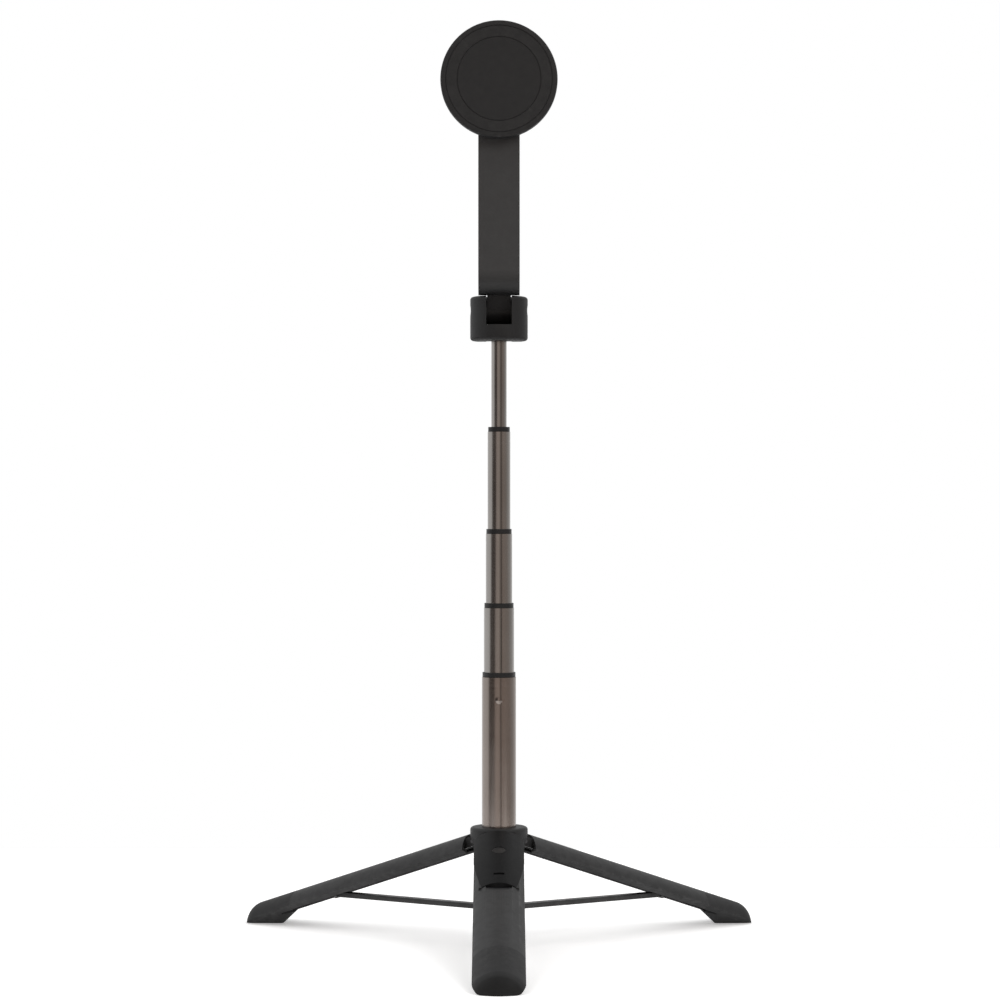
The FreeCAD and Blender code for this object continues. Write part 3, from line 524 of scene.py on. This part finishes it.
# ---------------------------------------------------------------- remote control
# A small wireless remote in two moulded shells with one round shutter key, clipped to the front
# leg. A board, a dome switch and a coin cell are shut inside it.
remote_finish = moulded("remote_case", (0.0090, 0.0092, 0.0096), (0.03, 0.03, 0.03), 0.52, 0.46,
                        grain=3600.0, sheen=0.06)
button_finish = moulded("key_cap", (0.013, 0.013, 0.0135), (0.03, 0.03, 0.03), 0.44, 0.36,
                        grain=4200.0, sheen=0.14)
moulded_copy("remote_top_shell", "remote_cover", remote_finish, "remote", 0.0002)
moulded_copy("remote_bottom_shell", "remote_tray", remote_finish, "remote",
             0.0002)
moulded_copy("shutter_button", "remote_key", button_finish, "button", 0.0002)
board_finish = moulded("solder_mask", (0.006, 0.055, 0.020), (0.30, 0.20, 0.08), 0.35, 0.2,
                       grain=900.0)
clad(board_finish, "remote_board")
clad(steel, "dome_switch", "coin_cell")

# ---------------------------------------------------------------- magnetic head
# A shallow cup that turns on the arm. It holds a steel plate and a ring of magnets behind a rubber
# face with two shallow grooves, and a wide screw and a wavy washer hold it on from behind.
FACE_SIDES = 128
FACE_EDGE = 0.0004
FACE_EDGE_STEPS = 3
FACE_EDGE_CORNER = 60
FACE_SMOOTH_BELOW = 30
FACE_GROOVES = ((0.0022, 0.0005), (0.0050, 0.0005))
GROOVE_FALL = 0.00025
nickel = drawn_metal("nickel_plate", (0.60, 0.58, 0.54), 0.16, 0.3)
face_rubber = moulded("face_rubber", (0.019, 0.019, 0.0195), (0.04, 0.04, 0.04), 0.74, 0.62,
                      grain=1500.0, depth=0.00005, sheen=0.35)
moulded_copy("magnet_housing", "magnet_cup", charcoal, "magnet_head", 0.0006)
clad(dark_steel, "swivel_axle", "swivel_screw", "swivel_spring_washer")
clad(steel, "steel_back_plate")
clad(nickel, "magnet_segments")

pad_low, pad_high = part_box("face_pad")
bpy.ops.object.select_all(action="DESELECT")
bpy.ops.mesh.primitive_cylinder_add(vertices=FACE_SIDES, radius=(pad_high[0] - pad_low[0]) / 2,
                                    depth=pad_high[1] - pad_low[1], rotation=(math.pi / 2, 0, 0),
                                    location=[(a + b) / 2 for a, b in zip(pad_low, pad_high)])
face_pad = bpy.context.object
face_pad.name = "magnet_face_pad"
bpy.ops.object.transform_apply(location=True, rotation=True, scale=True)
bpy.ops.object.mode_set(mode="EDIT")
bpy.ops.mesh.select_mode(type="FACE")
bpy.ops.mesh.select_all(action="DESELECT")
bpy.ops.object.mode_set(mode="OBJECT")
for side_face in face_pad.data.polygons:
    side_face.select = side_face.normal.y < -0.9
bpy.ops.object.mode_set(mode="EDIT")
for land, width in FACE_GROOVES:
    bpy.ops.mesh.inset(thickness=land)
    bpy.ops.mesh.inset(thickness=width * 0.3)
    bpy.ops.transform.translate(value=(0, GROOVE_FALL, 0))
    bpy.ops.mesh.inset(thickness=width * 0.4)
    bpy.ops.mesh.inset(thickness=width * 0.3)
    bpy.ops.transform.translate(value=(0, -GROOVE_FALL, 0))
bpy.ops.object.mode_set(mode="OBJECT")
pad_edge = face_pad.modifiers.new("pad_edge", "BEVEL")
pad_edge.width = FACE_EDGE
pad_edge.segments = FACE_EDGE_STEPS
pad_edge.limit_method = "ANGLE"
pad_edge.angle_limit = math.radians(FACE_EDGE_CORNER)
bpy.ops.object.modifier_apply(modifier=pad_edge.name)
bpy.ops.object.shade_smooth_by_angle(angle=math.radians(FACE_SMOOTH_BELOW))
face_pad.data.materials.append(face_rubber)
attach(face_pad, "magnet_head")
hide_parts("face_pad")

# ---------------------------------------------------------------- floor, light and camera
# A pale seamless floor under the feet, soft light from above and both sides, and a level view from
# the height of the mast's middle tubes.
FLOOR_SPAN = 0.8
FLOOR_TONE = (0.94, 0.94, 0.94)
FLOOR_ROUGHNESS = 0.7
FLOOR_GLOW = 0.30
WHITE = (1.0, 1.0, 1.0)
bpy.ops.object.select_all(action="DESELECT")
bpy.ops.mesh.primitive_plane_add(size=1, location=(0, 0, 0))
floor = bpy.context.object
floor.name = "studio_floor"
bpy.ops.transform.resize(value=(FLOOR_SPAN, FLOOR_SPAN, 1))
bpy.ops.object.transform_apply(location=True, rotation=True, scale=True)
floor_mat = bpy.data.materials.new("studio_white")
floor_mat.use_nodes = True
floor_shader = floor_mat.node_tree.nodes["Principled BSDF"]
floor_shader.inputs["Base Color"].default_value = (*FLOOR_TONE, 1)
floor_shader.inputs["Roughness"].default_value = FLOOR_ROUGHNESS
floor_shader.inputs["Emission Color"].default_value = (*WHITE, 1)
floor_shader.inputs["Emission Strength"].default_value = FLOOR_GLOW
floor.data.materials.append(floor_mat)

# bands of light and shade round the room, by direction from the viewer's side: 0 is behind the
# object on the left, 0.5 is the viewer's side, 1 is behind the object on the right
ROOM_BANDS = (
    (0.00, (1.0, 1.0, 1.0)), (0.22, (1.0, 1.0, 1.0)), (0.275, (0.92, 0.91, 0.90)),
    (0.320, (0.15, 0.130, 0.122)), (0.400, (0.12, 0.100, 0.090)), (0.440, (0.58, 0.50, 0.46)),
    (0.50, (0.60, 0.52, 0.47)), (0.58, (0.42, 0.35, 0.31)), (0.70, (0.42, 0.37, 0.34)),
    (0.78, (0.55, 0.54, 0.53)), (0.88, (0.9, 0.9, 0.9)), (1.0, (1.0, 1.0, 1.0)))
world = bpy.data.worlds.new("studio_air")
bpy.context.scene.world = world
world.use_nodes = True
air = world.node_tree
direction = air.nodes.new("ShaderNodeTexCoord")
split = air.nodes.new("ShaderNodeSeparateXYZ")
wire(air, direction, "Generated", split, "Vector")
flip = air.nodes.new("ShaderNodeMath")
flip.operation = "MULTIPLY"
flip.inputs[1].default_value = -1.0
wire(air, split, "Y", flip, 0)
turn = air.nodes.new("ShaderNodeMath")
turn.operation = "ARCTAN2"
wire(air, split, "X", turn, 0)
wire(air, flip, 0, turn, 1)
share = add_ramp(air, -math.pi, math.pi)
wire(air, turn, 0, share, "Value")
bands = air.nodes.new("ShaderNodeValToRGB")
bands.color_ramp.interpolation = "EASE"
for index, (place, light) in enumerate(ROOM_BANDS):
    if index < 2:
        stop = bands.color_ramp.elements[index]
        stop.position = place
    else:
        stop = bands.color_ramp.elements.new(place)
    stop.color = (*light, 1)
wire(air, share, "Result", bands, "Fac")
sky = add_ramp(air, 0.35, 0.9)
wire(air, split, "Z", sky, "Value")
aside = air.nodes.new("ShaderNodeMath")
aside.operation = "ABSOLUTE"
wire(air, split, "X", aside, 0)
ceiling_gap = add_ramp(air, 0.08, 0.42, 0.08, 1.10)
wire(air, aside, 0, ceiling_gap, "Value")
overhead = blend_colours(air, sky.outputs["Result"], bands.outputs["Color"],
                         ceiling_gap.outputs["Result"])
under = add_ramp(air, -0.35, -0.15, 0.2)
wire(air, split, "Z", under, "Value")
dimmed = air.nodes.new("ShaderNodeVectorMath")
dimmed.operation = "MULTIPLY"
air.links.new(overhead, dimmed.inputs[0])
wire(air, under, "Result", dimmed, 1)
seen = air.nodes.new("ShaderNodeLightPath")
backdrop = blend_colours(air, seen.outputs["Is Camera Ray"], dimmed.outputs["Vector"], WHITE)
air.links.new(backdrop, air.nodes["Background"].inputs["Color"])


def add_softbox(name, place, aim, size, power):
    """One square softbox turned to face a point."""
    bpy.ops.object.light_add(type="AREA", location=place)
    lamp = bpy.context.object
    lamp.name = name
    lamp.data.shape = "SQUARE"
    lamp.data.size = size
    lamp.data.energy = power
    reach = [there - here for there, here in zip(aim, place)]
    flat = math.hypot(reach[0], reach[1])
    lamp.rotation_euler = (math.pi / 2 + math.atan2(reach[2], flat), 0,
                           math.atan2(-reach[0], reach[1]))


add_softbox("key_right", (0.9, -0.9, 1.1), (0, 0, 0.2), 0.6, 6)
add_softbox("fill_left", (-1.1, -0.4, 0.9), (0, 0, 0.2), 0.6, 3)
bpy.ops.object.light_add(type="SUN", location=(0, 0, 2))
ceiling = bpy.context.object
ceiling.name = "ceiling_light"
ceiling.data.energy = 0.5
ceiling.data.angle = math.radians(80)
ceiling.rotation_euler = (math.radians(-12), math.radians(8), 0)

CAMERA_ASIDE = 0.0005
CAMERA_AWAY = 1.371
CAMERA_HEIGHT = 0.2186
camera_data = bpy.data.cameras.new("view")
camera_data.lens = 100
camera_data.sensor_width = 36
camera = bpy.data.objects.new("view", camera_data)
bpy.context.collection.objects.link(camera)
camera.location = (CAMERA_ASIDE, mast_y - CAMERA_AWAY, CAMERA_HEIGHT)
camera.rotation_euler = (math.pi / 2, 0, 0)
bpy.context.scene.camera = camera
bpy.context.scene.view_settings.view_transform = "Standard"
